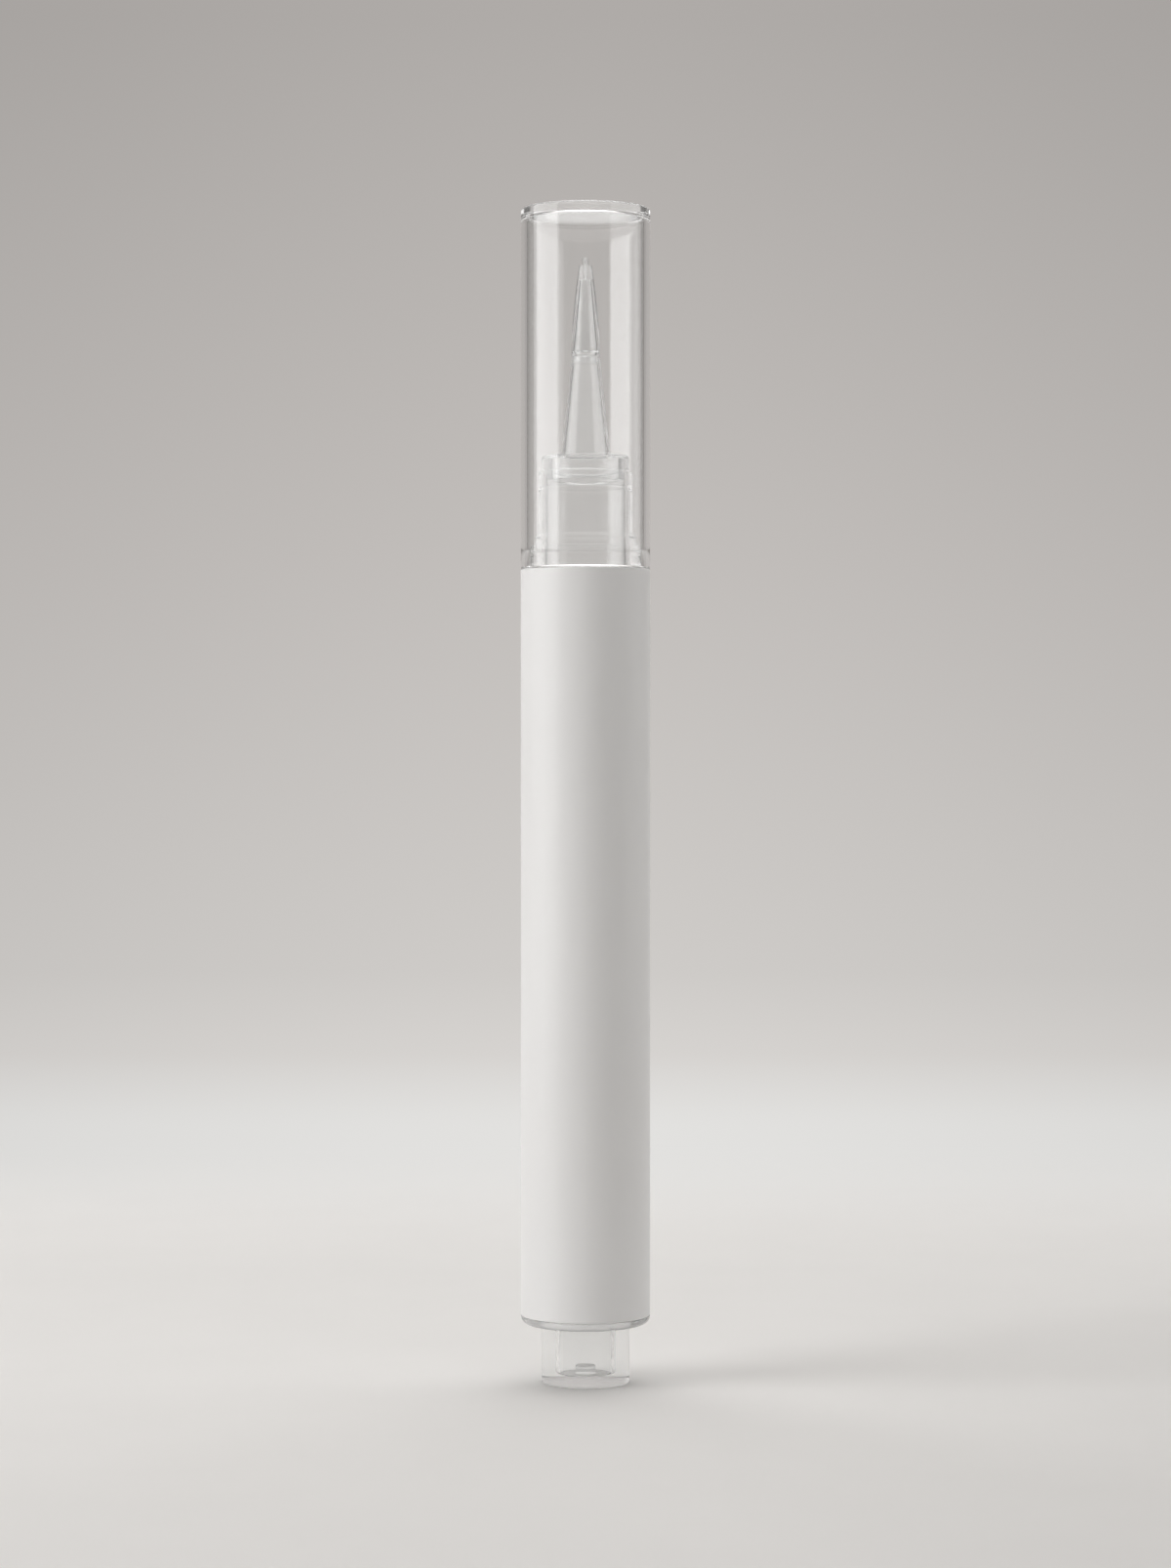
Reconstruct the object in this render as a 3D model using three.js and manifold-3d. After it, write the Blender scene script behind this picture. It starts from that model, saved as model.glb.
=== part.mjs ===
// Click pen for nail remover.
// A white barrel holds the fluid. Each press on the clear button at the tail turns a ratchet by one tooth.
// The ratchet turns a lead screw through a fixed nut, and the screw drives a piston, which feeds the fluid
// through a clear neck and nozzle to a soft pointed tip. A clear cap pulls off the front.
// Millimetres, +Z along the pen from the button to the cap, origin at the foot of the button.
import * as THREE from 'three';
import { mergeVertices } from 'three/addons/utils/BufferGeometryUtils.js';
import Module from 'manifold-3d';

// Driving dimensions. Heights are along the pen's axis, and the cap, barrel and tail rim are flush.
const PEN = { radius: 6.5, length: 118 };
const SEAT = 0.05; // gap where one piece seats on another
const RUN = 0.12; // gap round a piece that slides or turns in another
const EDGE = 0.3; // rounding of a moulded edge
const LEAD_IN = 0.4; // chamfer that guides a piece into its bore

const BARREL = { foot: 6.8, top: 81.75, rearBore: 5.7, chamberBore: 5.3, chamberFoot: 44 };
const CAP = { bore: 5.85, plate: 0.85, corner: 0.5, lip: 0.2, grooveDepth: 0.08 };
const NECK = {
  foot: 76, plug: 5.05, rib: 5.25, ribWidth: 0.7, ribGap: 1.6, bore: 3.9, mouth: 4.5, mouthDepth: 2.2,
  spigot: 5.55, spigotTop: 84.1, bead: 5.73, beadHeight: 83.6, beadWidth: 0.66,
  ring: 5.05, ringTop: 85, stem: 4.75, grooveHeight: 89.8, grooveWidth: 0.3, grooveDepth: 0.12, top: 91.6,
};
const NOZZLE = {
  plugFoot: 90.65, plugWall: 0.5, funnelFoot: 92.8, flange: 4.4, flangeTop: 93.15, cone: 2.5, top: 103.1,
  tip: 1.45, wall: 0.3, socketDepth: 0.6, seamRounding: 0.1,
};
const TIP = {
  collar: 1, collarTop: 103.5, swell: 1.35, swellHeight: 107.7, end: 0.63, endHeight: 112.27,
  nib: 0.32, top: 113, hollow: 1.12, hollowHeight: 107.5, hollowEnd: 0.55, hollowTop: 110.8, bore: 0.2,
};
const BUTTON = {
  radius: 4.45, bore: 2.6, floor: 0.9, boss: 1, bossTop: 1.75, flange: 4.93, flangeFoot: 8.45,
  flangeTop: 9.45, top: 12.8, stroke: 2.4,
};
const TAIL = { foot: 5.9, rimTop: 6.75, roll: 0.85, sleeve: 5.65, sleeveTop: 15.35 };
const HOUSING = { foot: 15.4, top: 23.2, ledgeTop: 17.4 };
const ROTOR = { hub: 3.3, flange: 5, flangeFoot: 18.5, flangeTop: 20.3, stem: 2.6, top: 37.6 };
const GUIDE = { top: 43.95, lip: 4.05, lipDepth: 1.2, springBore: 4.6, nutFoot: 40.2 };
const SHELL = { radius: 5.52, rib: 5.65, ribWidth: 0.6, ribCount: 6, ribStart: 0.8 };
const TEETH = { count: 12, share: 0.92, height: 0.5, root: 0.2, inner: 4.15, outer: 4.93, gap: 0.1 };
const SPRING = { radius: 3.5, wire: 0.25, curls: 9, squeeze: 0.5, stepsPerCurl: 8, sides: 5 };
const SCREW = {
  radius: 1.6, flat: 1.2, foot: 9, shankTop: 45, neck: 1.1, head: 2.2, headFoot: 45.5, top: 47.2,
};
const PISTON = {
  foot: 44.3, rear: 4.9, groove: 3.55, grooveFoot: 45.2, grooveTop: 48.2, front: 4.7, frontTop: 48.9,
  nose: 2.2, top: 49.7, socket: 2.4, socketFoot: 45.4, socketTop: 47.35,
};
const SEAL = { lip: 5.25, lipWidth: 0.55, waist: 4.75, bevel: 0.45 };

const MANY_SIDES = 40; // on the barrel and the pieces that seat in it
const FEW_SIDES = 32; // on the slim pieces
const ARC_STEPS = 3; // on a rounding
const BULLET_STEPS = 5; // along the soft tip
const FINE_ROUNDING = 0.2; // at or under this radius a rounding is drawn as a chamfer

const wasm = await Module();
wasm.setup();

// One corner of a profile, with the radius of its rounding where it has one.
function corner(r, z, rounding = 0) {
  return Object.assign(new THREE.Vector2(r, z), { rounding });
}

// Replaces each rounded corner of a profile by an arc that runs smoothly into both of its sides.
function soften(corners) {
  return corners.flatMap((point, i) => {
    if (!point.rounding) return [point];
    const before = corners[i - 1].clone().sub(point).normalize();
    const after = corners[i + 1].clone().sub(point).normalize();
    const halfAngle = Math.acos(before.dot(after)) / 2;
    const inward = before.clone().add(after).normalize();
    const centre = point.clone().addScaledVector(inward, point.rounding / Math.sin(halfAngle));
    const reach = point.rounding / Math.tan(halfAngle);
    const start = point.clone().addScaledVector(before, reach).sub(centre);
    const end = point.clone().addScaledVector(after, reach).sub(centre);
    const turn = Math.sign(start.cross(end)) * (Math.PI - 2 * halfAngle);
    const steps = point.rounding > FINE_ROUNDING ? ARC_STEPS : 1;
    return Array.from({ length: steps + 1 }, (_, k) =>
      start.clone().rotateAround(new THREE.Vector2(), (turn * k) / steps).add(centre));
  });
}

// Turns a profile round the pen's axis. It runs up the outside of the piece, and either starts and ends
// on the axis or is closed on itself.
function revolve(corners, sides) {
  const outline = soften(corners);
  if (outline[0].x > 0) outline.push(outline[0]);
  return new THREE.LatheGeometry(outline, sides).rotateX(Math.PI / 2);
}

// A geometry as a solid that can be joined and cut.
function toSolid(geometry) {
  const bare = geometry.clone();
  bare.deleteAttribute('normal');
  bare.deleteAttribute('uv');
  const { attributes, index } = mergeVertices(bare, 1e-4);
  return new wasm.Manifold(new wasm.Mesh({
    numProp: 3,
    vertProperties: attributes.position.array,
    triVerts: Uint32Array.from(index.array),
  }));
}

// A joined or cut solid as a geometry again.
function toGeometry(solid) {
  const { vertProperties, triVerts } = solid.getMesh();
  const geometry = new THREE.BufferGeometry();
  geometry.setAttribute('position', new THREE.BufferAttribute(vertProperties, 3));
  geometry.setIndex(new THREE.BufferAttribute(triVerts, 1));
  return geometry;
}

// Copies of a geometry spaced evenly round the axis, joined to a solid.
function addAround(solid, geometry, count) {
  let joined = solid;
  for (let k = 0; k < count; k += 1) {
    const copy = geometry.clone().rotateZ((2 * Math.PI * k) / count);
    joined = joined.add(toSolid(copy));
  }
  return joined;
}

// One saw tooth of the click ratchet, standing on the plane z = 0. Its slope climbs with the turn, or
// falls with it, and its other face is sheer.
function sawTooth(climbs) {
  const width = ((2 * Math.PI) / TEETH.count) * TEETH.share;
  const outline = new THREE.Shape();
  outline.absarc(0, 0, TEETH.outer, 0, width, false);
  outline.absarc(0, 0, TEETH.inner, width, 0, true);
  const tooth = new THREE.ExtrudeGeometry(outline, { depth: 1, bevelEnabled: false, curveSegments: 1 });
  const vertices = tooth.getAttribute('position');
  for (let i = 0; i < vertices.count; i += 1) {
    const turned = Math.atan2(vertices.getY(i), vertices.getX(i)) / width;
    const rise = TEETH.height * (climbs ? turned : 1 - turned);
    vertices.setZ(i, vertices.getZ(i) > 0 ? rise : -TEETH.root);
  }
  return tooth;
}

// Six crush ribs that keep a mechanism piece from turning in the barrel.
function addCrushRibs(solid, foot, top) {
  const depth = SHELL.rib - SHELL.radius + TEETH.root;
  const length = top - foot - 2 * SHELL.ribStart;
  const rib = new THREE.BoxGeometry(depth, SHELL.ribWidth, length);
  rib.translate(SHELL.rib - depth / 2, 0, (foot + top) / 2);
  return addAround(solid, rib, SHELL.ribCount);
}

// A round section with two flats, drawn from one height to another.
function doubleFlatBar(radius, flat, foot, top) {
  const edge = Math.acos(flat / radius);
  const section = new THREE.Shape();
  section.absarc(0, 0, radius, edge, Math.PI - edge, false);
  section.absarc(0, 0, radius, Math.PI + edge, 2 * Math.PI - edge, false);
  const options = { depth: top - foot, bevelEnabled: false, curveSegments: 4 };
  return new THREE.ExtrudeGeometry(section, options).translate(0, 0, foot);
}

// Clear pull-off cap: a thin tube with a flat top, and a groove near its mouth that seats on the neck's bead.
function cap() {
  const foot = BARREL.top + SEAT;
  const ceiling = PEN.length - CAP.plate;
  const halfGroove = NECK.beadWidth / 2 + SEAT;
  return revolve([
    corner(0, ceiling),
    corner(CAP.bore, ceiling, CAP.corner),
    corner(CAP.bore, NECK.beadHeight + halfGroove),
    corner(CAP.bore + CAP.grooveDepth, NECK.beadHeight, CAP.grooveDepth),
    corner(CAP.bore, NECK.beadHeight - halfGroove),
    corner(CAP.bore, foot + CAP.lip),
    corner(CAP.bore + CAP.lip, foot),
    corner(PEN.radius, foot, CAP.lip / 2),
    corner(PEN.radius, PEN.length, EDGE),
    corner(0, PEN.length),
  ], MANY_SIDES);
}

// White barrel: a wide bore at the tail for the mechanism, and a narrower one that is the fluid chamber.
function barrel() {
  const { foot, top, rearBore, chamberBore, chamberFoot } = BARREL;
  return revolve([
    corner(rearBore, foot),
    corner(PEN.radius, foot, EDGE / 4),
    corner(PEN.radius, top, EDGE / 4),
    corner(chamberBore, top),
    corner(chamberBore, chamberFoot),
    corner(rearBore, chamberFoot),
  ], MANY_SIDES);
}

// Clear neck: a ribbed plug in the barrel's mouth, a beaded spigot for the cap, and a stem for the nozzle.
function neck() {
  const shoulder = BARREL.top + SEAT;
  const ribs = [1, 2].flatMap((k) => {
    const height = NECK.foot + NECK.ribGap * k;
    return [
      corner(NECK.plug, height - NECK.ribWidth / 2),
      corner(NECK.rib, height - NECK.ribWidth / 4),
      corner(NECK.rib, height + NECK.ribWidth / 4),
      corner(NECK.plug, height + NECK.ribWidth / 2),
    ];
  });
  const groove = NECK.stem - NECK.grooveDepth;
  return revolve([
    corner(NECK.mouth, NECK.foot),
    corner(NECK.plug - LEAD_IN / 2, NECK.foot),
    corner(NECK.plug, NECK.foot + LEAD_IN),
    ...ribs,
    corner(NECK.plug, shoulder),
    corner(NECK.spigot, shoulder),
    corner(NECK.spigot, NECK.beadHeight - NECK.beadWidth / 2),
    corner(NECK.bead, NECK.beadHeight, NECK.beadWidth / 2),
    corner(NECK.spigot, NECK.beadHeight + NECK.beadWidth / 2),
    corner(NECK.spigot, NECK.spigotTop, EDGE / 2),
    corner(NECK.ring, NECK.spigotTop),
    corner(NECK.ring, NECK.ringTop, EDGE / 2),
    corner(NECK.stem, NECK.ringTop + EDGE, EDGE / 2),
    corner(NECK.stem, NECK.grooveHeight),
    corner(groove, NECK.grooveHeight + NECK.grooveWidth / 2),
    corner(NECK.stem, NECK.grooveHeight + NECK.grooveWidth),
    corner(NECK.stem, NECK.top, EDGE),
    corner(NECK.bore, NECK.top),
    corner(NECK.bore, NECK.foot + NECK.mouthDepth),
  ], MANY_SIDES);
}

// Clear nozzle: a short plug in the neck's bore, a flange that seats on it, and a slim thin-walled cone.
function nozzle() {
  const flangeFoot = NECK.top + SEAT;
  const plug = NECK.bore - SEAT;
  const socketFoot = NOZZLE.top - NOZZLE.socketDepth;
  const socket = NOZZLE.tip - NOZZLE.wall / 2;
  const throat = NOZZLE.tip - NOZZLE.wall;
  const inlet = NOZZLE.cone - NOZZLE.wall;
  const plugBore = plug - NOZZLE.plugWall;
  return revolve([
    corner(plugBore, NOZZLE.plugFoot),
    corner(plug, NOZZLE.plugFoot, EDGE / 2),
    corner(plug, flangeFoot),
    corner(NOZZLE.flange, flangeFoot),
    corner(NOZZLE.flange, NOZZLE.flangeTop, EDGE),
    corner(NOZZLE.cone, NOZZLE.flangeTop, EDGE / 2),
    corner(NOZZLE.tip, NOZZLE.top, NOZZLE.seamRounding),
    corner(socket, NOZZLE.top),
    corner(socket, socketFoot),
    corner(throat, socketFoot),
    corner(inlet, NOZZLE.flangeTop - NOZZLE.wall),
    corner(plugBore, NOZZLE.funnelFoot),
  ], FEW_SIDES);
}

// Soft clear tip: a collar in the nozzle's socket, a hollow tapering bullet and a fine nib with a bore.
function applicatorTip() {
  const shoulder = NOZZLE.top + SEAT;
  const lip = NOZZLE.tip - NOZZLE.wall / 2 - SEAT;
  const throat = NOZZLE.tip - NOZZLE.wall;
  const foot = NOZZLE.top - NOZZLE.socketDepth + SEAT;
  const skin = new THREE.QuadraticBezierCurve(
    corner(NOZZLE.tip, shoulder),
    corner(TIP.swell, TIP.swellHeight),
    corner(TIP.end, TIP.endHeight),
  );
  const hollow = new THREE.QuadraticBezierCurve(
    corner(TIP.hollowEnd, TIP.hollowTop),
    corner(TIP.hollow, TIP.hollowHeight),
    corner(throat, TIP.collarTop + throat - TIP.collar),
  );
  return revolve([
    corner(TIP.collar, foot),
    corner(lip, foot),
    corner(lip, shoulder),
    corner(NOZZLE.tip, shoulder, NOZZLE.seamRounding),
    ...skin.getPoints(BULLET_STEPS).slice(1),
    corner(TIP.nib, TIP.endHeight),
    corner(TIP.nib, TIP.top, TIP.bore / 4),
    corner(TIP.bore, TIP.top),
    corner(TIP.bore, TIP.hollowTop),
    ...hollow.getPoints(BULLET_STEPS),
    corner(TIP.collar, TIP.collarTop),
  ], FEW_SIDES);
}

// Clear push button: a thick-walled cup with a moulding boss on its floor and a flange that keeps it in.
function pushButton() {
  const { radius, bore, floor, boss, bossTop, flange, flangeFoot, flangeTop, top } = BUTTON;
  return revolve([
    corner(0, 0),
    corner(radius, 0, EDGE / 2),
    corner(radius, flangeFoot),
    corner(flange, flangeFoot),
    corner(flange, flangeTop),
    corner(radius, flangeTop),
    corner(radius, top),
    corner(bore, top),
    corner(bore, floor, EDGE),
    corner(boss, floor),
    corner(boss, bossTop, EDGE / 2),
    corner(0, bossTop),
  ], MANY_SIDES);
}

// Clear tail plug: the rim that closes the barrel, and the sleeve that the button slides in.
function tailPlug() {
  const narrowBore = BUTTON.radius + RUN;
  const wideBore = BUTTON.flange + RUN;
  const stop = BUTTON.flangeFoot - SEAT;
  return revolve([
    corner(narrowBore, TAIL.foot),
    corner(PEN.radius, TAIL.foot, TAIL.roll),
    corner(PEN.radius, TAIL.rimTop),
    corner(TAIL.sleeve, TAIL.rimTop),
    corner(TAIL.sleeve, TAIL.sleeveTop - LEAD_IN),
    corner(TAIL.sleeve - LEAD_IN / 2, TAIL.sleeveTop),
    corner(wideBore, TAIL.sleeveTop),
    corner(wideBore, stop),
    corner(narrowBore, stop),
  ], MANY_SIDES);
}

// Rear half of the click ratchet: a ribbed cup with a crown of teeth on its ledge.
function ratchetHousing() {
  const { foot, top, ledgeTop } = HOUSING;
  const hubBore = ROTOR.hub + RUN;
  const wallBore = ROTOR.flange + RUN;
  const cup = revolve([
    corner(hubBore, foot),
    corner(SHELL.radius, foot),
    corner(SHELL.radius, top),
    corner(wallBore, top),
    corner(wallBore, ledgeTop),
    corner(hubBore, ledgeTop),
  ], MANY_SIDES);
  const ribbed = addCrushRibs(toSolid(cup), foot, top);
  const tooth = sawTooth(false).translate(0, 0, ledgeTop);
  return toGeometry(addAround(ribbed, tooth, TEETH.count));
}

// Rotor: a hub that rides on the button's rim, a flange with a crown of teeth on both faces, and a stem
// whose flatted bore turns the lead screw while the screw slides through it.
function rotor() {
  const foot = BUTTON.top + SEAT;
  const { hub, flange, flangeFoot, flangeTop, stem, top } = ROTOR;
  const turned = revolve([
    corner(0, foot),
    corner(hub, foot),
    corner(hub, flangeFoot),
    corner(flange, flangeFoot),
    corner(flange, flangeTop),
    corner(stem, flangeTop),
    corner(stem, top),
    corner(0, top),
  ], FEW_SIDES);
  const rearTooth = sawTooth(false).rotateX(Math.PI).translate(0, 0, flangeFoot);
  const frontTooth = sawTooth(true).translate(0, 0, flangeTop);
  const toothed = addAround(addAround(toSolid(turned), rearTooth, TEETH.count), frontTooth, TEETH.count);
  const bore = doubleFlatBar(SCREW.radius + RUN, SCREW.flat + RUN, foot - 1, top + 1);
  return toGeometry(toothed.subtract(toSolid(bore)));
}

// Thread guide: the front half of the click ratchet, the spring's housing and the nut of the lead screw.
// Its teeth stand half a pitch round from the rotor's, so that each press turns the rotor on.
function threadGuide() {
  const foot = HOUSING.top + SEAT;
  const pressedTips = ROTOR.flangeTop + TEETH.height + BUTTON.stroke;
  const toothPlane = pressedTips + TEETH.gap + TEETH.height;
  const lipTop = toothPlane + GUIDE.lipDepth;
  const rimBore = ROTOR.flange + RUN;
  const nutBore = SCREW.radius + RUN;
  const body = revolve([
    corner(rimBore, foot),
    corner(SHELL.radius, foot),
    corner(SHELL.radius, GUIDE.top),
    corner(nutBore, GUIDE.top),
    corner(nutBore, GUIDE.nutFoot),
    corner(GUIDE.springBore, GUIDE.nutFoot),
    corner(GUIDE.springBore, lipTop),
    corner(GUIDE.lip, lipTop),
    corner(GUIDE.lip, toothPlane),
    corner(rimBore, toothPlane),
  ], MANY_SIDES);
  const ribbed = addCrushRibs(toSolid(body), foot, GUIDE.top);
  const halfPitch = Math.PI / TEETH.count;
  const tooth = sawTooth(true).rotateX(Math.PI).rotateZ(halfPitch).translate(0, 0, toothPlane);
  return toGeometry(addAround(ribbed, tooth, TEETH.count));
}

// Centre line of the return spring, whose curls draw closer together at both ends.
class SpringLine extends THREE.Curve {
  getPoint(t, target = new THREE.Vector3()) {
    const foot = ROTOR.flangeTop + SEAT + SPRING.wire;
    const rise = GUIDE.nutFoot - SEAT - SPRING.wire - foot;
    const turn = 2 * Math.PI * t;
    const height = foot + rise * (t - (SPRING.squeeze * Math.sin(turn)) / (2 * Math.PI));
    target.setFromCylindricalCoords(SPRING.radius, turn * SPRING.curls, 0);
    return target.set(target.x, target.z, height);
  }
}

// Return spring: one unbroken wire between the rotor's flange and the thread guide.
function returnSpring() {
  const line = new SpringLine();
  const steps = SPRING.curls * SPRING.stepsPerCurl;
  line.arcLengthDivisions = 4 * steps;
  const section = new THREE.Shape();
  for (let k = 0; k < SPRING.sides; k += 1) {
    const angle = (2 * Math.PI * k) / SPRING.sides;
    const add = k === 0 ? 'moveTo' : 'lineTo';
    section[add](SPRING.wire * Math.cos(angle), SPRING.wire * Math.sin(angle));
  }
  const points = line.getSpacedPoints(steps);
  let nearest = Infinity;
  for (let i = 0; i < points.length; i += 1) {
    for (let j = i + SPRING.stepsPerCurl / 2; j < points.length; j += 1) {
      nearest = Math.min(nearest, points[i].distanceTo(points[j]));
    }
  }
  console.log(`return spring, least gap between curls: ${(nearest - 2 * SPRING.wire).toFixed(2)} mm`);
  return new THREE.ExtrudeGeometry(section, { steps, extrudePath: line, bevelEnabled: false });
}

// Lead screw: a bar with two flats, and a head that swivels in the piston.
function leadScrew() {
  const { radius, flat, foot, shankTop, neck: waist, head, headFoot, top } = SCREW;
  const shank = doubleFlatBar(radius, flat, foot, shankTop);
  const swivel = revolve([
    corner(0, shankTop - 1),
    corner(waist, shankTop - 1),
    corner(waist, headFoot),
    corner(head, headFoot),
    corner(head, top, EDGE),
    corner(0, top),
  ], FEW_SIDES);
  return toGeometry(toSolid(shank).add(toSolid(swivel)));
}

// Piston: a spool that carries the seal, with a socket behind for the screw's head and a blunt nose in front.
function piston() {
  const entry = SCREW.radius + RUN;
  return revolve([
    corner(0, PISTON.socketTop),
    corner(PISTON.socket, PISTON.socketTop),
    corner(PISTON.socket, PISTON.socketFoot),
    corner(entry, PISTON.socketFoot),
    corner(entry, PISTON.foot),
    corner(PISTON.rear, PISTON.foot),
    corner(PISTON.rear, PISTON.grooveFoot),
    corner(PISTON.groove, PISTON.grooveFoot),
    corner(PISTON.groove, PISTON.grooveTop),
    corner(PISTON.front, PISTON.grooveTop),
    corner(PISTON.front, PISTON.frontTop),
    corner(PISTON.nose, PISTON.top),
    corner(0, PISTON.top),
  ], FEW_SIDES);
}

// Soft seal: a sleeve round the piston with a wiping lip at each end.
function pistonSeal() {
  const foot = PISTON.grooveFoot + SEAT;
  const top = PISTON.grooveTop - SEAT;
  const bore = PISTON.groove + SEAT;
  return revolve([
    corner(bore, foot),
    corner(SEAL.waist, foot),
    corner(SEAL.lip, foot + SEAL.bevel / 2),
    corner(SEAL.lip, foot + SEAL.lipWidth),
    corner(SEAL.waist, foot + SEAL.lipWidth + SEAL.bevel),
    corner(SEAL.waist, top - SEAL.lipWidth - SEAL.bevel),
    corner(SEAL.lip, top - SEAL.lipWidth),
    corner(SEAL.lip, top - SEAL.bevel / 2),
    corner(SEAL.waist, top),
    corner(bore, top),
  ], FEW_SIDES);
}

function clearPlastic(color, roughness) {
  return new THREE.MeshStandardMaterial({ color, roughness, metalness: 0, transparent: true, opacity: 0.3 });
}

function solidPlastic(color, roughness) {
  return new THREE.MeshStandardMaterial({ color, roughness, metalness: 0 });
}

const pen = new THREE.Group();

function place(name, geometry, material) {
  const mesh = new THREE.Mesh(geometry, material);
  mesh.name = name;
  pen.add(mesh);
}

place('cap', cap(), clearPlastic(0xf4f5f5, 0.05));
place('applicator_tip', applicatorTip(), clearPlastic(0xeceeee, 0.25));
place('nozzle', nozzle(), clearPlastic(0xf0f1f1, 0.1));
place('neck', neck(), clearPlastic(0xf0f1f1, 0.1));
place('barrel', barrel(), solidPlastic(0xe6e5e3, 0.45));
place('piston', piston(), solidPlastic(0xe2e1dc, 0.4));
place('piston_seal', pistonSeal(), solidPlastic(0xc9c8c4, 0.6));
place('lead_screw', leadScrew(), solidPlastic(0xe8e6e0, 0.4));
place('thread_guide', threadGuide(), solidPlastic(0xdedcd6, 0.4));
place('return_spring', returnSpring(), new THREE.MeshStandardMaterial({
  color: 0xb8babd, roughness: 0.25, metalness: 1,
}));
place('rotor', rotor(), solidPlastic(0xd5d8da, 0.35));
place('ratchet_housing', ratchetHousing(), solidPlastic(0xdedcd6, 0.4));
place('tail_plug', tailPlug(), clearPlastic(0xf0f1f1, 0.08));
place('push_button', pushButton(), clearPlastic(0xf4f5f5, 0.06));

export default pen;
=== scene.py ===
# %% [markdown]
# # A click pen that feeds nail remover
# This pen stands on its clear push button. A white barrel holds the fluid, and a clear cap covers a soft
# pointed tip. Inside, each press turns a ratchet, the ratchet turns a screw, and the screw pushes a piston.
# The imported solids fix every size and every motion. This lesson makes fine surfaces over them, one piece at
# a time, first the pieces that can be seen and then those that the barrel hides.

import math

import bpy
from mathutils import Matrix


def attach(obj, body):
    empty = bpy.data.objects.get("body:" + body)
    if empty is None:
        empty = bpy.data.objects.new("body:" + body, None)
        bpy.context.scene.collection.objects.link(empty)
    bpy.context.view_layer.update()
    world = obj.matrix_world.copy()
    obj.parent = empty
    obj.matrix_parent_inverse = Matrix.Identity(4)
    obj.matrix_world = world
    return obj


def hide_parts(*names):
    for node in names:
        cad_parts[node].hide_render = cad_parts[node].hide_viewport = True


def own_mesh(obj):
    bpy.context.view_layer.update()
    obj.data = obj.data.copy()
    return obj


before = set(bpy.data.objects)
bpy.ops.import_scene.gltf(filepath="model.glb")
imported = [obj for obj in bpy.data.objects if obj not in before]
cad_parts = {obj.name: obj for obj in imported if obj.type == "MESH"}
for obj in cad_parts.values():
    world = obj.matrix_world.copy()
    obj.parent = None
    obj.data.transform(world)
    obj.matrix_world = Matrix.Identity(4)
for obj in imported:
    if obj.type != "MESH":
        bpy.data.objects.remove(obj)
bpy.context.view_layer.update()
MM = 0.001
print("solids:", ", ".join(sorted(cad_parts)))

# %% [markdown]
# ## Sizes that several pieces share
# The cap, the barrel and the tail rim are flush, so one radius serves all three. Pieces that seat on each
# other keep a hair's breadth between them, and pieces that slide or turn keep a little more. Clear plastic
# needs these gaps: light bends at each true surface, and two surfaces in one place would bend it wrongly.

# %% Shared sizes in millimetres, heights measured up the pen's axis
PEN_RADIUS = 6.5
PEN_LENGTH = 118.0
SEAT = 0.05
RUN = 0.12
EDGE = 0.3
LEAD_IN = 0.4
BARREL_FOOT = 6.8
BARREL_TOP = 81.75
SHOULDER = BARREL_TOP + SEAT
BEAD_HEIGHT = 83.6
BEAD_HALF = 0.33
print("cap and barrel meet at", SHOULDER, "mm")

# %% [markdown]
# ## Turned pieces
# Almost every piece here is round, because it is moulded in a round cavity. So one way of working serves
# most of the pen. A single point is extruded from corner to corner until it draws half of the piece's
# section. Moulded corners are then rounded by a bevel on the corner's vertex, and the section is spun once
# round the axis. Stacked cylinders would need a Boolean for every step, and this way needs none.

# %% Draw half a section, round its corners and spin it
SIDES = 128
ROUND_STEPS = 5
WELD = 1e-6
SMOOTH_ANGLE = math.radians(32)
LARGE_FACES_FIRST = 100


def draw_section(name, corners):
    """Extrudes a point from corner to corner in the XZ plane. A corner is (radius, height, rounding)."""
    bpy.ops.object.select_all(action="DESELECT")
    bpy.ops.mesh.primitive_plane_add(size=MM)
    piece = bpy.context.object
    piece.name = name
    bpy.ops.object.mode_set(mode="EDIT")
    bpy.ops.mesh.select_mode(type="VERT")
    bpy.ops.mesh.select_all(action="SELECT")
    bpy.ops.mesh.merge(type="CENTER")
    bpy.ops.transform.translate(value=(corners[0][0] * MM, 0, corners[0][1] * MM))
    for start, end in zip(corners, corners[1:]):
        step = ((end[0] - start[0]) * MM, 0, (end[1] - start[1]) * MM)
        bpy.ops.mesh.extrude_region_move(TRANSFORM_OT_translate={"value": step})
    bpy.ops.object.mode_set(mode="OBJECT")
    return piece


def weld():
    """Merges points of the piece in hand that lie in one place, then turns every face outward."""
    bpy.ops.object.mode_set(mode="EDIT")
    bpy.ops.mesh.select_all(action="SELECT")
    bpy.ops.mesh.remove_doubles(threshold=WELD)
    bpy.ops.mesh.normals_make_consistent(inside=False)
    bpy.ops.object.mode_set(mode="OBJECT")


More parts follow.
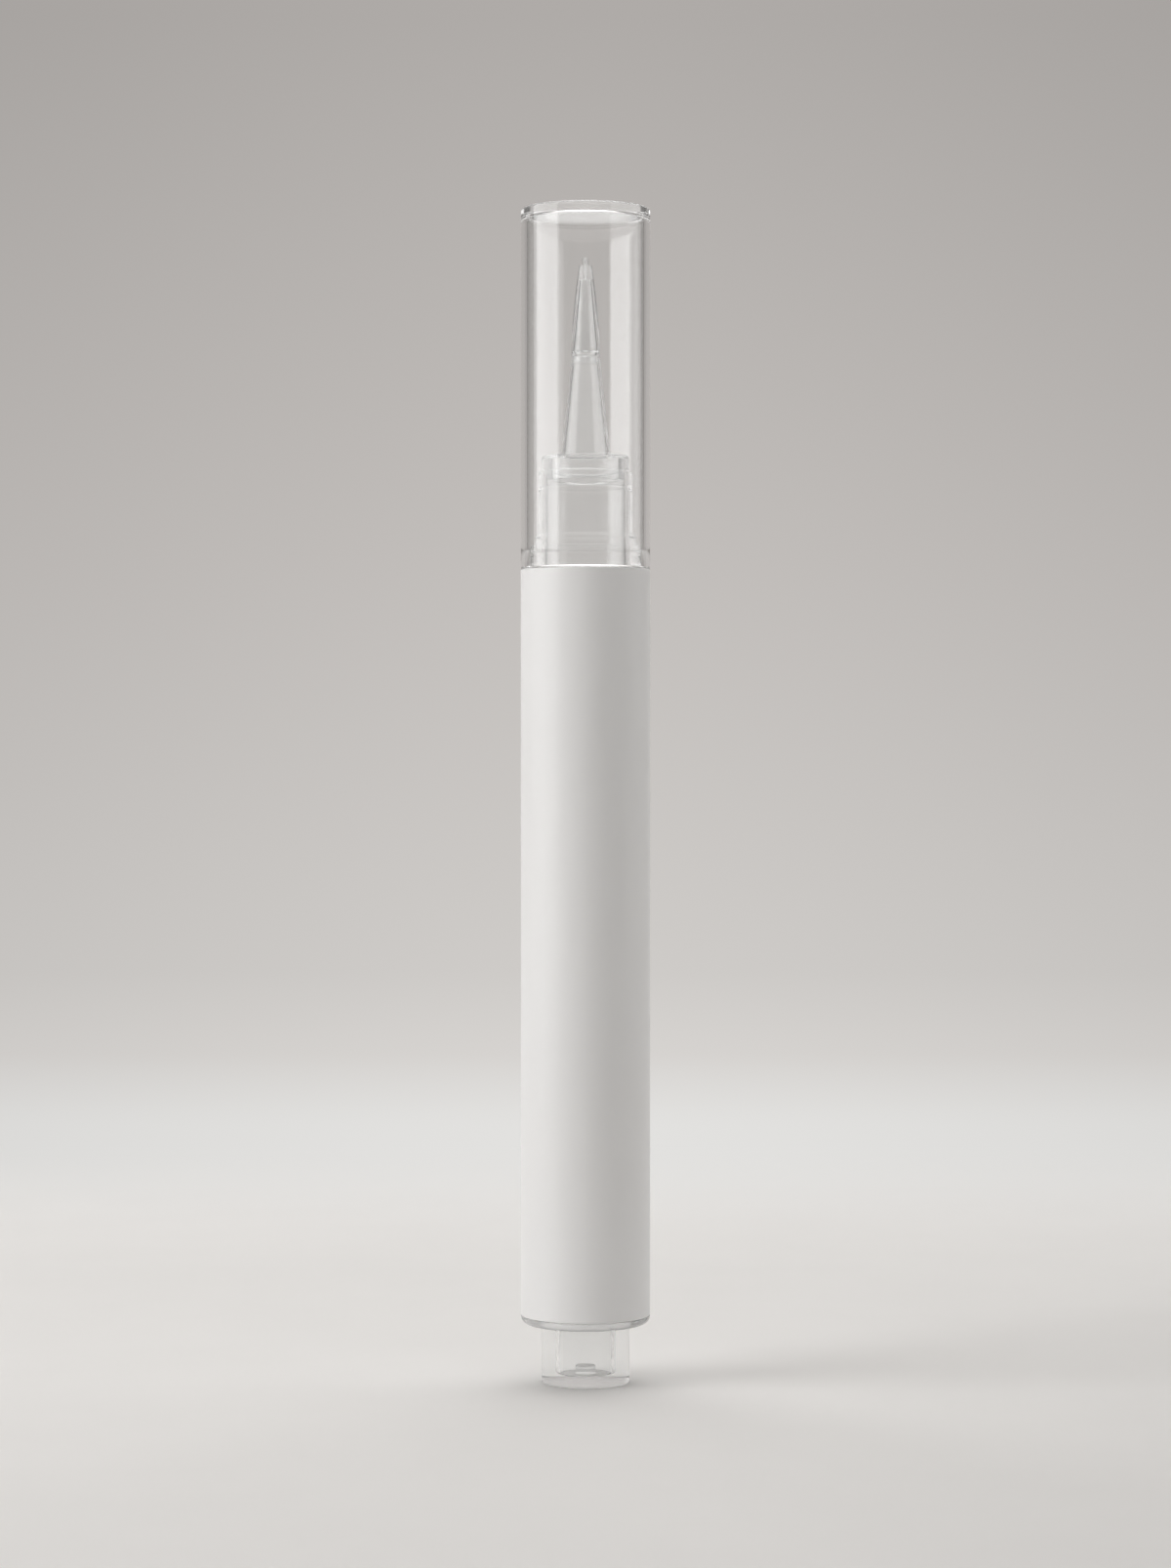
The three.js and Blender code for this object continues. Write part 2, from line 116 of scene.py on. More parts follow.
def round_corner(piece, before, corner, after):
    """Replaces one corner of a section by an arc that runs smoothly into both of its sides."""
    radius, height, rounding = corner
    inward = math.atan2(before[1] - height, before[0] - radius)
    outward = math.atan2(after[1] - height, after[0] - radius)
    # Half of the angle between the corner's two sides gives how far along them the arc starts.
    half_angle = abs((inward - outward + math.pi) % (2 * math.pi) - math.pi) / 2
    bpy.ops.object.mode_set(mode="EDIT")
    bpy.ops.mesh.select_all(action="DESELECT")
    bpy.ops.object.mode_set(mode="OBJECT")
    for vertex in piece.data.vertices:
        off = math.hypot(vertex.co.x - radius * MM, vertex.co.z - height * MM)
        vertex.select = off < WELD
    bpy.ops.object.mode_set(mode="EDIT")
    reach = rounding * MM / math.tan(half_angle)
    bpy.ops.mesh.bevel(offset=reach, segments=ROUND_STEPS, affect="VERTICES")
    bpy.ops.object.mode_set(mode="OBJECT")


def smooth(piece):
    """Shades a piece smoothly over its roundings, and keeps its long walls straight and its corners sharp."""
    bpy.ops.object.shade_smooth_by_angle(angle=SMOOTH_ANGLE)
    straight = piece.modifiers.new("straight_walls", "WEIGHTED_NORMAL")
    straight.keep_sharp = True
    straight.weight = LARGE_FACES_FIRST
    bpy.ops.object.modifier_apply(modifier="straight_walls")


def turn(name, corners, sides=SIDES):
    """A round piece from half of its section, which starts and ends on the axis or is closed on itself."""
    # A corner that names no rounding stays sharp.
    corners = [(*corner, 0)[:3] for corner in corners]
    if corners[0][0] > 0:
        corners.append(corners[0])
    piece = draw_section(name, corners)
    weld()
    for before, corner, after in zip(corners, corners[1:], corners[2:]):
        if corner[2]:
            round_corner(piece, before, corner, after)
    bpy.ops.object.mode_set(mode="EDIT")
    bpy.ops.mesh.select_all(action="SELECT")
    bpy.ops.mesh.spin(steps=sides, angle=2 * math.pi, center=(0, 0, 0), axis=(0, 0, 1))
    bpy.ops.object.mode_set(mode="OBJECT")
    weld()
    smooth(piece)
    return piece


def settle(piece, material, body, node):
    """Gives a finished piece its material and its body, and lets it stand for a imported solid."""
    piece.data.materials.append(material)
    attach(piece, body)
    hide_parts(node)
    heights = [vertex.co.z / MM for vertex in piece.data.vertices]
    print(f"{piece.name}: {len(piece.data.polygons)} faces, {min(heights):.2f} to {max(heights):.2f} mm up")


print("turned pieces have", SIDES, "sides")

# %% [markdown]
# ## Finishes from nodes
# Every finish on the pen is made of nodes, and none uses a picture. Patterns are placed by Object
# coordinates, which are metres in the pen's own frame, so they stay on a piece when it moves. Node trees
# repeat a few steps again and again, and these helpers put each step in one line.

# %% Small helpers for node trees
MIDDLE_LOW = 0.3
MIDDLE_HIGH = 0.7


def feed(tree, socket, value):
    """Sets a socket to a value, or links the output of another node to it."""
    if isinstance(value, bpy.types.NodeSocket):
        tree.links.new(value, socket)
    else:
        socket.default_value = value


def add_node(tree, kind, **values):
    """A node of one kind, with its inputs fed by name."""
    node = tree.nodes.new(kind)
    for name, value in values.items():
        feed(tree, node.inputs[name.replace("_", " ")], value)
    return node


def work_out(tree, operation, *values):
    """The result of a Math node on numbers or the outputs of other nodes."""
    node = tree.nodes.new("ShaderNodeMath")
    node.operation = operation
    for socket, value in zip(node.inputs, values):
        feed(tree, socket, value)
    return node.outputs["Value"]


def fade(tree, value, start, end, low=0.0, high=1.0, eased=False):
    """Goes from low to high while a value goes from start to end."""
    node = add_node(
        tree, "ShaderNodeMapRange", Value=value, From_Min=start, From_Max=end, To_Min=low, To_Max=high
    )
    if eased:
        node.interpolation_type = "SMOOTHSTEP"
    return node.outputs["Result"]


def split_axes(tree, place):
    """The X, Y and Z of a place."""
    return add_node(tree, "ShaderNodeSeparateXYZ", Vector=place).outputs


def start_material(name):
    """A material with an empty tree, its output node and coordinates in the pen's own frame."""
    material = bpy.data.materials.new(name)
    material.use_nodes = True
    tree = material.node_tree
    tree.nodes.clear()
    output = tree.nodes.new("ShaderNodeOutputMaterial")
    place = tree.nodes.new("ShaderNodeTexCoord").outputs["Object"]
    return material, tree, output, place


def add_noise(tree, place, scale, stretch=1.0, detail=3.0):
    """Noise that can be drawn out along the pen. Scale counts grains per metre."""
    mapping = add_node(tree, "ShaderNodeMapping", Vector=place, Scale=(1, 1, 1 / stretch))
    noise = add_node(
        tree, "ShaderNodeTexNoise", Vector=mapping.outputs["Vector"], Scale=scale, Detail=detail
    )
    return noise.outputs["Fac"]


def blend_colours(tree, factor, dark, light):
    """A colour between two, by a noise whose middle range is spread out."""
    ramp = add_node(tree, "ShaderNodeValToRGB", Fac=factor)
    ramp.color_ramp.elements[0].position = MIDDLE_LOW
    ramp.color_ramp.elements[1].position = MIDDLE_HIGH
    ramp.color_ramp.elements[0].color = (*dark, 1)
    ramp.color_ramp.elements[1].color = (*light, 1)
    return ramp.outputs["Color"]


def spread(tree, factor, low, high):
    """A value between two, by a noise whose middle range is spread out."""
    return fade(tree, factor, MIDDLE_LOW, MIDDLE_HIGH, low, high)


print("noise is spread out between", MIDDLE_LOW, "and", MIDDLE_HIGH)

# %% [markdown]
# ## Clear plastic
# The cap, neck, nozzle, button and tail plug are moulded in clear plastic. The shader is almost full
# transmission, with faint flow lines along the pen, which a mould leaves, and a little wear in the polish.
# One flat face of a piece can be matt, as the end of a mould's core often leaves it. Rays that look for a
# lamp pass straight through, so that lamps behind clear walls still light what is inside. Thick walls get a
# lower refraction than real plastic has, because the real value gives them dark wedges.

# %% Build clear plastic from nodes
FLOW_DEPTH = 0.985
LEAST_WEAR = 0.6
MOST_WEAR = 1.4
LEVEL_SLACK = 10 * WELD


def let_lamps_through(tree, surface, output, share):
    """Shows a surface, except to rays that look for a lamp, which pass with a share of their light."""
    path = tree.nodes.new("ShaderNodeLightPath")
    passing = add_node(tree, "ShaderNodeBsdfTransparent", Color=(share, share, share, 1))
    mix = add_node(tree, "ShaderNodeMixShader", Fac=path.outputs["Is Shadow Ray"])
    feed(tree, mix.inputs[1], surface.outputs["BSDF"])
    feed(tree, mix.inputs[2], passing.outputs["BSDF"])
    feed(tree, output.inputs["Surface"], mix.outputs["Shader"])


def roughen_level(tree, place, finish, level, extra):
    """Adds extra roughness to a finish at one height."""
    there = work_out(tree, "COMPARE", split_axes(tree, place)["Z"], level * MM, LEVEL_SLACK)
    return work_out(tree, "MULTIPLY_ADD", there, extra, finish)


def clear_plastic(name, tint, roughness, ior, haze=0.0, lamp_share=0.97, matt_level=None, matt=0.0):
    """Clear plastic with faint flow lines along the pen. Haze is the share of light that it scatters white.
    The flat face at the matt level, if there is one, is rougher than the rest by the matt value."""
    material, tree, output, place = start_material(name)
    flow = add_noise(tree, place, scale=900, stretch=14)
    wear = add_noise(tree, place, scale=350)
    darker = tuple(FLOW_DEPTH * channel for channel in tint)
    finish = spread(tree, wear, LEAST_WEAR * roughness, MOST_WEAR * roughness)
    if matt_level is not None:
        finish = roughen_level(tree, place, finish, matt_level, matt)
    surface = add_node(
        tree,
        "ShaderNodeBsdfPrincipled",
        Base_Color=blend_colours(tree, flow, darker, tint),
        Roughness=finish,
        IOR=ior,
        Transmission_Weight=1 - haze,
    )
    let_lamps_through(tree, surface, output, share=lamp_share)
    return material


CAP_PLATE = 0.85
CEILING = PEN_LENGTH - CAP_PLATE
CAP_CLEAR = clear_plastic(
    "cap_clear", tint=(0.997, 0.998, 0.998), roughness=0.008, ior=1.49, matt_level=CEILING, matt=0.85
)
print("made", CAP_CLEAR.name, "with", len(CAP_CLEAR.node_tree.nodes), "nodes")

# %% [markdown]
# ## Cap
# The cap is a thin tube with a flat closed top. Its ceiling is matt on the inside, which makes the pale oval
# under the top, and meets the wall in a small rounding. Near the mouth, a shallow groove seats on the neck's
# bead, and a lead-in below it helps the cap over the bead. Both walls are drawn in one section, because a
# shell grown from the outer wall would have neither the groove nor the lead-in.

# %% Make the cap
CAP_BORE = 5.85
CAP_CORNER = 0.5
CAP_LIP = 0.2
CAP_GROOVE = 0.05
half_groove = BEAD_HALF + SEAT
cap = turn(
    "clear_cap",
    [
        (0, CEILING),
        (CAP_BORE, CEILING, CAP_CORNER),
        (CAP_BORE, BEAD_HEIGHT + half_groove),
        (CAP_BORE + CAP_GROOVE, BEAD_HEIGHT, CAP_GROOVE),
        (CAP_BORE, BEAD_HEIGHT - half_groove),
        (CAP_BORE, SHOULDER + CAP_LIP),
        (CAP_BORE + CAP_LIP, SHOULDER),
        (PEN_RADIUS, SHOULDER, CAP_LIP / 2),
        (PEN_RADIUS, PEN_LENGTH, EDGE),
        (0, PEN_LENGTH),
    ],
)
settle(cap, CAP_CLEAR, "cap_body", "cap")

# %% [markdown]
# ## Barrel
# The barrel is a white tube with a satin skin. It is bored twice: wide at the tail for the mechanism, and a
# little narrower in front, where the bare bore is the fluid chamber. The step between the two stops the
# mechanism. The skin's grain is too fine to model, so it is a bump in the material.

# %% Make the barrel and its white satin plastic
REAR_BORE = 5.7
CHAMBER_BORE = 5.3
CHAMBER_FOOT = 44.0
DRIFT = 0.06


def moulded_plastic(name, dark, light, roughness, grain_height):
    """Opaque moulded plastic with a fine grain and a slight drift in its tone."""
    material, tree, output, place = start_material(name)
    drift = add_noise(tree, place, scale=120, stretch=3)
    grain = add_noise(tree, place, scale=9000, detail=2)
    bump = add_node(tree, "ShaderNodeBump", Strength=1.0, Distance=grain_height * MM, Height=grain)
    surface = add_node(
        tree,
        "ShaderNodeBsdfPrincipled",
        Base_Color=blend_colours(tree, drift, dark, light),
        Roughness=spread(tree, drift, (1 - DRIFT) * roughness, (1 + DRIFT) * roughness),
        IOR=1.48,
        Normal=bump.outputs["Normal"],
    )
    feed(tree, output.inputs["Surface"], surface.outputs["BSDF"])
    return material


WHITE_SATIN = moulded_plastic(
    "white_satin", dark=(0.86, 0.855, 0.85), light=(0.88, 0.875, 0.87), roughness=0.42, grain_height=0.004
)
barrel = turn(
    "white_barrel",
    [
        (REAR_BORE, BARREL_FOOT),
        (PEN_RADIUS, BARREL_FOOT, EDGE / 4),
        (PEN_RADIUS, BARREL_TOP, EDGE / 4),
        (CHAMBER_BORE, BARREL_TOP),
        (CHAMBER_BORE, CHAMBER_FOOT),
        (REAR_BORE, CHAMBER_FOOT),
    ],
)
settle(barrel, WHITE_SATIN, "pen_body", "barrel")

# %% [markdown]
# ## Neck
# The neck plugs the front of the barrel. Two ribs on the plug grip the barrel's bore. Above the joint stand
# a beaded spigot, which the cap snaps over, a low ring and a stem with a fine groove. A bore runs right
# through. Rings could be made one by one on a plain tube, but here each is only a few more corners.

# %% Make the neck
NECK_FOOT = 76.0
NECK_PLUG = 5.05
NECK_RIB = 5.25
RIB_WIDTH = 0.7
RIB_GAP = 1.6
NECK_BORE = 3.9
NECK_MOUTH = 4.5
MOUTH_DEPTH = 2.2
SPIGOT = 5.55
SPIGOT_TOP = 84.1
BEAD = 5.73
RING = 5.05
RING_TOP = 85.0
STEM = 4.75
GROOVE_HEIGHT = 89.8
GROOVE_WIDTH = 0.3
GROOVE_DEPTH = 0.12
NECK_TOP = 91.6
NECK_TINT = (0.985, 0.988, 0.988)
NECK_CLEAR = clear_plastic("neck_clear", NECK_TINT, roughness=0.12, ior=1.16, haze=0.03)
ribs = []
for height in (NECK_FOOT + RIB_GAP, NECK_FOOT + 2 * RIB_GAP):
    ribs += [
        (NECK_PLUG, height - RIB_WIDTH / 2),
        (NECK_RIB, height - RIB_WIDTH / 4),
        (NECK_RIB, height + RIB_WIDTH / 4),
        (NECK_PLUG, height + RIB_WIDTH / 2),
    ]
neck = turn(
    "clear_neck",
    [
        (NECK_MOUTH, NECK_FOOT),
        (NECK_PLUG - LEAD_IN / 2, NECK_FOOT),
        (NECK_PLUG, NECK_FOOT + LEAD_IN),
        *ribs,
        (NECK_PLUG, SHOULDER),
        (SPIGOT, SHOULDER),
        (SPIGOT, BEAD_HEIGHT - BEAD_HALF),
        (BEAD, BEAD_HEIGHT, BEAD_HALF),
        (SPIGOT, BEAD_HEIGHT + BEAD_HALF),
        (SPIGOT, SPIGOT_TOP, EDGE / 2),
        (RING, SPIGOT_TOP),
        (RING, RING_TOP, EDGE / 2),
        (STEM, RING_TOP + EDGE, EDGE / 2),
        (STEM, GROOVE_HEIGHT),
        (STEM - GROOVE_DEPTH, GROOVE_HEIGHT + GROOVE_WIDTH / 2),
        (STEM, GROOVE_HEIGHT + GROOVE_WIDTH),
        (STEM, NECK_TOP, EDGE),
        (NECK_BORE, NECK_TOP),
        (NECK_BORE, NECK_FOOT + MOUTH_DEPTH),
    ],
)
settle(neck, NECK_CLEAR, "pen_body", "neck")

# %% [markdown]
# ## Nozzle
# The nozzle seats on the neck with a flange, and its plug goes down into the neck's bore. Its slim cone is
# thin walled, and a shallow socket at its end holds the collar of the soft tip. Both walls of the cone are in
# one section, which keeps the wall as thin as the real one all the way up.

# %% Make the nozzle
PLUG_FOOT = 90.65
FUNNEL_FOOT = 92.8
FLANGE = 4.4
FLANGE_TOP = 93.15
CONE = 2.5
CONE_TOP = 103.1
CONE_TIP = 1.45
CONE_WALL = 0.3
PLUG_WALL = 0.5
SEAM_ROUNDING = 0.1
SOCKET_DEPTH = 0.6
NOZZLE_CLEAR = clear_plastic("nozzle_clear", NECK_TINT, roughness=0.012, ior=1.35, haze=0.06)
socket_radius = CONE_TIP - CONE_WALL / 2
throat = CONE_TIP - CONE_WALL
inlet = CONE - CONE_WALL
plug = NECK_BORE - SEAT
nozzle = turn(
    "clear_nozzle",
    [
        (plug - PLUG_WALL, PLUG_FOOT),
        (plug, PLUG_FOOT, EDGE / 2),
        (plug, NECK_TOP + SEAT),
        (FLANGE, NECK_TOP + SEAT),
        (FLANGE, FLANGE_TOP, EDGE),
        (CONE, FLANGE_TOP, EDGE / 2),
        (CONE_TIP, CONE_TOP, SEAM_ROUNDING),
        (socket_radius, CONE_TOP),
        (socket_radius, CONE_TOP - SOCKET_DEPTH),
        (throat, CONE_TOP - SOCKET_DEPTH),
        (inlet, FLANGE_TOP - CONE_WALL),
        (plug - PLUG_WALL, FUNNEL_FOOT),
    ],
)
settle(nozzle, NOZZLE_CLEAR, "pen_body", "nozzle")

# %% [markdown]
# ## Soft tip
# The tip is moulded in clear silicone, which is softer and a little hazy. A collar at its foot sits in the
# nozzle's socket. Its skin and its hollow each follow one smooth curve, so the corners of its section are
# taken along those curves. The end is solid but for a fine bore. It looks whiter there, so the material turns
# milky towards the end, and only the nib on top is clear again.

# %% Make the tip and its hazy silicone
TIP_SEAM = CONE_TOP + SEAT
TIP_COLLAR = 1.0
COLLAR_TOP = 103.5
SWELL = (1.35, 107.7)
TIP_END = (0.63, 112.27)
HOLLOW = (0.72, 107.5)
HOLLOW_END = (0.47, 110.8)
NIB = 0.32
TIP_TOP = 113.0
TIP_BORE = 0.1
CURVE_STEPS = 24
MILKY_FROM = 110.6
MILKY_TO = 111.2
NIB_FROM = TIP_END[1] - EDGE / 4
BODY_CLEARNESS = 0.96
END_CLEARNESS = 0.86
NIB_CLEARNESS = 0.97


def along_curve(start, pull, end):
    """Points on the curve that leaves start towards pull and arrives at end from it."""
    points = []
    for k in range(CURVE_STEPS + 1):
        share = k / CURVE_STEPS
        weights = ((1 - share) ** 2, 2 * share * (1 - share), share**2)
        radius = sum(weight * point[0] for weight, point in zip(weights, (start, pull, end)))
        height = sum(weight * point[1] for weight, point in zip(weights, (start, pull, end)))
        points.append((radius, height))
    return points


def soft_silicone():
    """Clear silicone with a hazy skin, milky at the tip's end and clear again in the nib."""
    material, tree, output, place = start_material("soft_silicone")
    skin = add_noise(tree, place, scale=1400, stretch=4)
    height = split_axes(tree, place)["Z"]
    milky = fade(tree, height, MILKY_FROM * MM, MILKY_TO * MM, low=BODY_CLEARNESS, high=END_CLEARNESS)
    clearness = fade(tree, height, NIB_FROM * MM, TIP_END[1] * MM, low=milky, high=NIB_CLEARNESS)
    surface = add_node(
        tree,
        "ShaderNodeBsdfPrincipled",
        Base_Color=blend_colours(tree, skin, dark=(0.94, 0.945, 0.945), light=(0.97, 0.973, 0.973)),
        Roughness=spread(tree, skin, low=0.02, high=0.05),
        IOR=1.42,
        Specular_IOR_Level=1.0,
        Transmission_Weight=clearness,
    )
    let_lamps_through(tree, surface, output, share=0.9)
    return material


tip_foot = CONE_TOP - SOCKET_DEPTH + SEAT
tip = turn(
    "soft_tip",
    [
        (TIP_COLLAR, tip_foot),
        (socket_radius - SEAT, tip_foot),
        (socket_radius - SEAT, TIP_SEAM),
        (CONE_TIP, TIP_SEAM, SEAM_ROUNDING),
        *along_curve((CONE_TIP, TIP_SEAM), SWELL, TIP_END)[1:],
        (NIB, TIP_END[1]),
        (NIB, TIP_TOP, TIP_BORE / 4),
        (TIP_BORE, TIP_TOP),
        (TIP_BORE, HOLLOW_END[1]),
        *along_curve(HOLLOW_END, HOLLOW, (throat, COLLAR_TOP + throat - TIP_COLLAR)),
        (TIP_COLLAR, COLLAR_TOP),
    ],
)
settle(tip, soft_silicone(), "pen_body", "applicator_tip")

# %% [markdown]
# ## Push button
# The button is a thick-walled clear cup that opens up into the pen, and its floor is what the pen stands on.
# A low boss in the middle of the floor is where the plastic was fed in. A flange near the top keeps it in
# the tail. The foot is a little matt, from standing on tables.

# %% Make the push button
BUTTON = 4.45
BUTTON_FOOT = 0.0
BUTTON_BORE = 2.6
BUTTON_FLOOR = 0.9
BOSS = 1.0
BOSS_TOP = 1.75
KEEPER = 4.93
KEEPER_FOOT = 8.45
KEEPER_TOP = 9.45
BUTTON_TOP = 12.8
TAIL_TINT = (0.985, 0.988, 0.987)
TAIL_CLEAR = clear_plastic(
    "tail_clear",
    TAIL_TINT,
    roughness=0.03,
    ior=1.16,
    haze=0.1,
    lamp_share=0.86,
    matt_level=BUTTON_FOOT,
    matt=0.2,
)
button = turn(
    "clear_button",
    [
        (0, BUTTON_FOOT),
        (BUTTON, BUTTON_FOOT, EDGE / 2),
        (BUTTON, KEEPER_FOOT),
        (KEEPER, KEEPER_FOOT),
        (KEEPER, KEEPER_TOP),
        (BUTTON, KEEPER_TOP),
        (BUTTON, BUTTON_TOP),
        (BUTTON_BORE, BUTTON_TOP),
        (BUTTON_BORE, BUTTON_FLOOR, EDGE),
        (BOSS, BUTTON_FLOOR),
        (BOSS, BOSS_TOP, EDGE / 2),
        (0, BOSS_TOP),
    ],
)
settle(button, TAIL_CLEAR, "button_body", "push_button")

# %% [markdown]
# ## Tail plug
# The tail plug closes the barrel with a rounded clear rim. Its sleeve goes up inside the barrel and guides
# the button, and a step in the sleeve stops the button's flange. Its plastic is hazier than the button's, and
# the flat under the rim is matt.

# %% Make the tail plug
TAIL_FOOT = 5.9
RIM_TOP = 6.75
RIM_ROLL = 0.85
SLEEVE = 5.65
SLEEVE_TOP = 15.35
TAIL_HAZY = clear_plastic(
    "tail_hazy", TAIL_TINT, roughness=0.04, ior=1.12, haze=0.28, matt_level=TAIL_FOOT, matt=0.7
)
tail_plug = turn(
    "clear_tail_plug",
    [
        (BUTTON + RUN, TAIL_FOOT),
        (PEN_RADIUS, TAIL_FOOT, RIM_ROLL),
        (PEN_RADIUS, RIM_TOP),
        (SLEEVE, RIM_TOP),
        (SLEEVE, SLEEVE_TOP - LEAD_IN),
        (SLEEVE - LEAD_IN / 2, SLEEVE_TOP),
        (KEEPER + RUN, SLEEVE_TOP),
        (KEEPER + RUN, KEEPER_FOOT - SEAT),
        (BUTTON + RUN, KEEPER_FOOT - SEAT),
    ],
)
settle(tail_plug, TAIL_HAZY, "pen_body", "tail_plug")

# %% [markdown]
# ## Lead screw
# The screw has a two-start thread, cut away by two flats on which the rotor turns it. A Screw modifier
# carries one lead of the thread's outline round and up, as a lathe does. The ends and the flats are then cut
# clean by bisecting. The head that swivels in the piston is a turned piece, joined on by a Boolean.

# %% Make the lead screw
SCREW_CREST = 1.6
SCREW_ROOT = 1.25
SCREW_FLAT = 1.2
SCREW_FOOT = 9.0
SHANK_TOP = 45.0
LEAD = 2.6
STARTS = 2
FLANK_FROM = 0.3
CREST_FROM = 0.5
CREST_TO = 0.8
THREAD_STEPS = 48
SPARE_TURNS = 2
SCREW_NECK = 1.1
NECK_ROOT = 44.0
SCREW_HEAD = 2.2
HEAD_FOOT = 45.5
SCREW_TOP = 47.2
NATURAL = moulded_plastic(
    "natural_plastic", dark=(0.8, 0.79, 0.76), light=(0.85, 0.845, 0.82), roughness=0.38, grain_height=0.006
)


def thread_outline(foot):
    """One lead of the thread's outline, with a tooth for each start."""
    pitch = LEAD / STARTS
    outline = []
    for start in range(STARTS):
        tooth_foot = foot + pitch * start
        outline += [
            (SCREW_ROOT, tooth_foot),
            (SCREW_ROOT, tooth_foot + pitch * FLANK_FROM),
            (SCREW_CREST, tooth_foot + pitch * CREST_FROM),
            (SCREW_CREST, tooth_foot + pitch * CREST_TO),
        ]
    return [*outline, (SCREW_ROOT, foot + LEAD)]


def cut_away(point, direction):
    """Cuts the piece in hand by a plane, drops what lies beyond it and closes the cut."""
    place = [c * MM for c in point]
    bpy.ops.mesh.select_all(action="SELECT")
    bpy.ops.mesh.bisect(
        plane_co=place, plane_no=direction, use_fill=True, clear_outer=True, threshold=WELD / 10
    )


screw = draw_section("threaded_screw", thread_outline(SCREW_FOOT - LEAD))
thread = screw.modifiers.new("thread", "SCREW")
thread.screw_offset = LEAD * MM
thread.iterations = math.ceil((SHANK_TOP - SCREW_FOOT) / LEAD) + SPARE_TURNS
thread.steps = THREAD_STEPS
thread.render_steps = THREAD_STEPS
bpy.ops.object.modifier_apply(modifier="thread")
weld()
bpy.ops.object.mode_set(mode="EDIT")
cut_away((0, 0, SCREW_FOOT), (0, 0, -1))
cut_away((0, 0, SHANK_TOP), (0, 0, 1))
cut_away((SCREW_FLAT, 0, 0), (1, 0, 0))
cut_away((-SCREW_FLAT, 0, 0), (-1, 0, 0))
bpy.ops.object.mode_set(mode="OBJECT")
weld()
swivel = turn(
    "swivel_head",
    [
        (0, NECK_ROOT),
        (SCREW_NECK, NECK_ROOT),
        (SCREW_NECK, HEAD_FOOT),
        (SCREW_HEAD, HEAD_FOOT),
        (SCREW_HEAD, SCREW_TOP, EDGE),
        (0, SCREW_TOP),
    ],
    sides=THREAD_STEPS,
)
bpy.ops.object.select_all(action="DESELECT")
bpy.context.view_layer.objects.active = screw
screw.select_set(True)
union = screw.modifiers.new("head", "BOOLEAN")
union.operation = "UNION"
union.object = swivel
bpy.ops.object.modifier_apply(modifier="head")
bpy.data.objects.remove(swivel)
bpy.ops.object.shade_smooth_by_angle(angle=SMOOTH_ANGLE)
settle(screw, NATURAL, "screw_body", "lead_screw")

# %% [markdown]
# ## Return spring
# The spring is one wire. A small ring of points is drawn forward and turned a little, again and again, the
# way a coiling machine feeds wire past its pin. Near both ends the rise slows, so the last curls lie closer
# together. When the button is pressed, the spring is squashed towards its fixed upper end.

# %% Wind the return spring
SPRING_RADIUS = 3.5
WIRE = 0.25
CURLS = 9
SQUEEZE = 0.5
STEPS_PER_CURL = 32
WIRE_SIDES = 12
LOWER_REST = 20.3
UPPER_REST = 40.2
SPRING_FOOT = LOWER_REST + SEAT + WIRE
SPRING_TOP = UPPER_REST - SEAT - WIRE


def spring_height(share):
    """How high the wire's centre is after a share of the winding."""
    eased = share - SQUEEZE * math.sin(2 * math.pi * share) / (2 * math.pi)
    return SPRING_FOOT + (SPRING_TOP - SPRING_FOOT) * eased


def drawn_steel():
    """Bright drawn wire with fine marks round it."""
    material, tree, output, place = start_material("drawn_steel")
    marks = add_noise(tree, place, scale=4000, stretch=0.2)
    surface = add_node(
        tree,
        "ShaderNodeBsdfPrincipled",
        Base_Color=blend_colours(tree, marks, dark=(0.52, 0.53, 0.54), light=(0.66, 0.67, 0.68)),
        Roughness=spread(tree, marks, low=0.18, high=0.32),
        Metallic=1.0,
    )
    feed(tree, output.inputs["Surface"], surface.outputs["BSDF"])
    return material


bpy.ops.object.select_all(action="DESELECT")
bpy.ops.mesh.primitive_circle_add(
    vertices=WIRE_SIDES,
    radius=WIRE * MM,
    location=(0, SPRING_RADIUS * MM, SPRING_FOOT * MM),
    rotation=(0, math.pi / 2, 0),
    fill_type="NGON",
)
spring = bpy.context.object
spring.name = "wire_spring"
bpy.ops.object.transform_apply(location=True, rotation=True, scale=True)
bpy.ops.object.mode_set(mode="EDIT")
bpy.ops.mesh.select_all(action="SELECT")
winding_steps = CURLS * STEPS_PER_CURL
for k in range(winding_steps):
    rise = spring_height((k + 1) / winding_steps) - spring_height(k / winding_steps)
    bpy.ops.mesh.extrude_region_move(TRANSFORM_OT_translate={"value": (0, 0, rise * MM)})
    bpy.ops.transform.rotate(value=2 * math.pi / STEPS_PER_CURL, orient_axis="Z", center_override=(0, 0, 0))
bpy.ops.object.mode_set(mode="OBJECT")
weld()
bpy.ops.object.shade_smooth_by_angle(angle=SMOOTH_ANGLE)
settle(spring, drawn_steel(), "pen_body", "return_spring")
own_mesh(spring)

# %% [markdown]
# ## Piston and seal
# The piston is a spool. The screw's head swivels in a socket at its back, and a soft sleeve in its groove
# wipes the chamber's wall with a lip at each end. The sleeve is a piece of its own, because it is rubber and
# is stretched over the spool when the pen is put together.

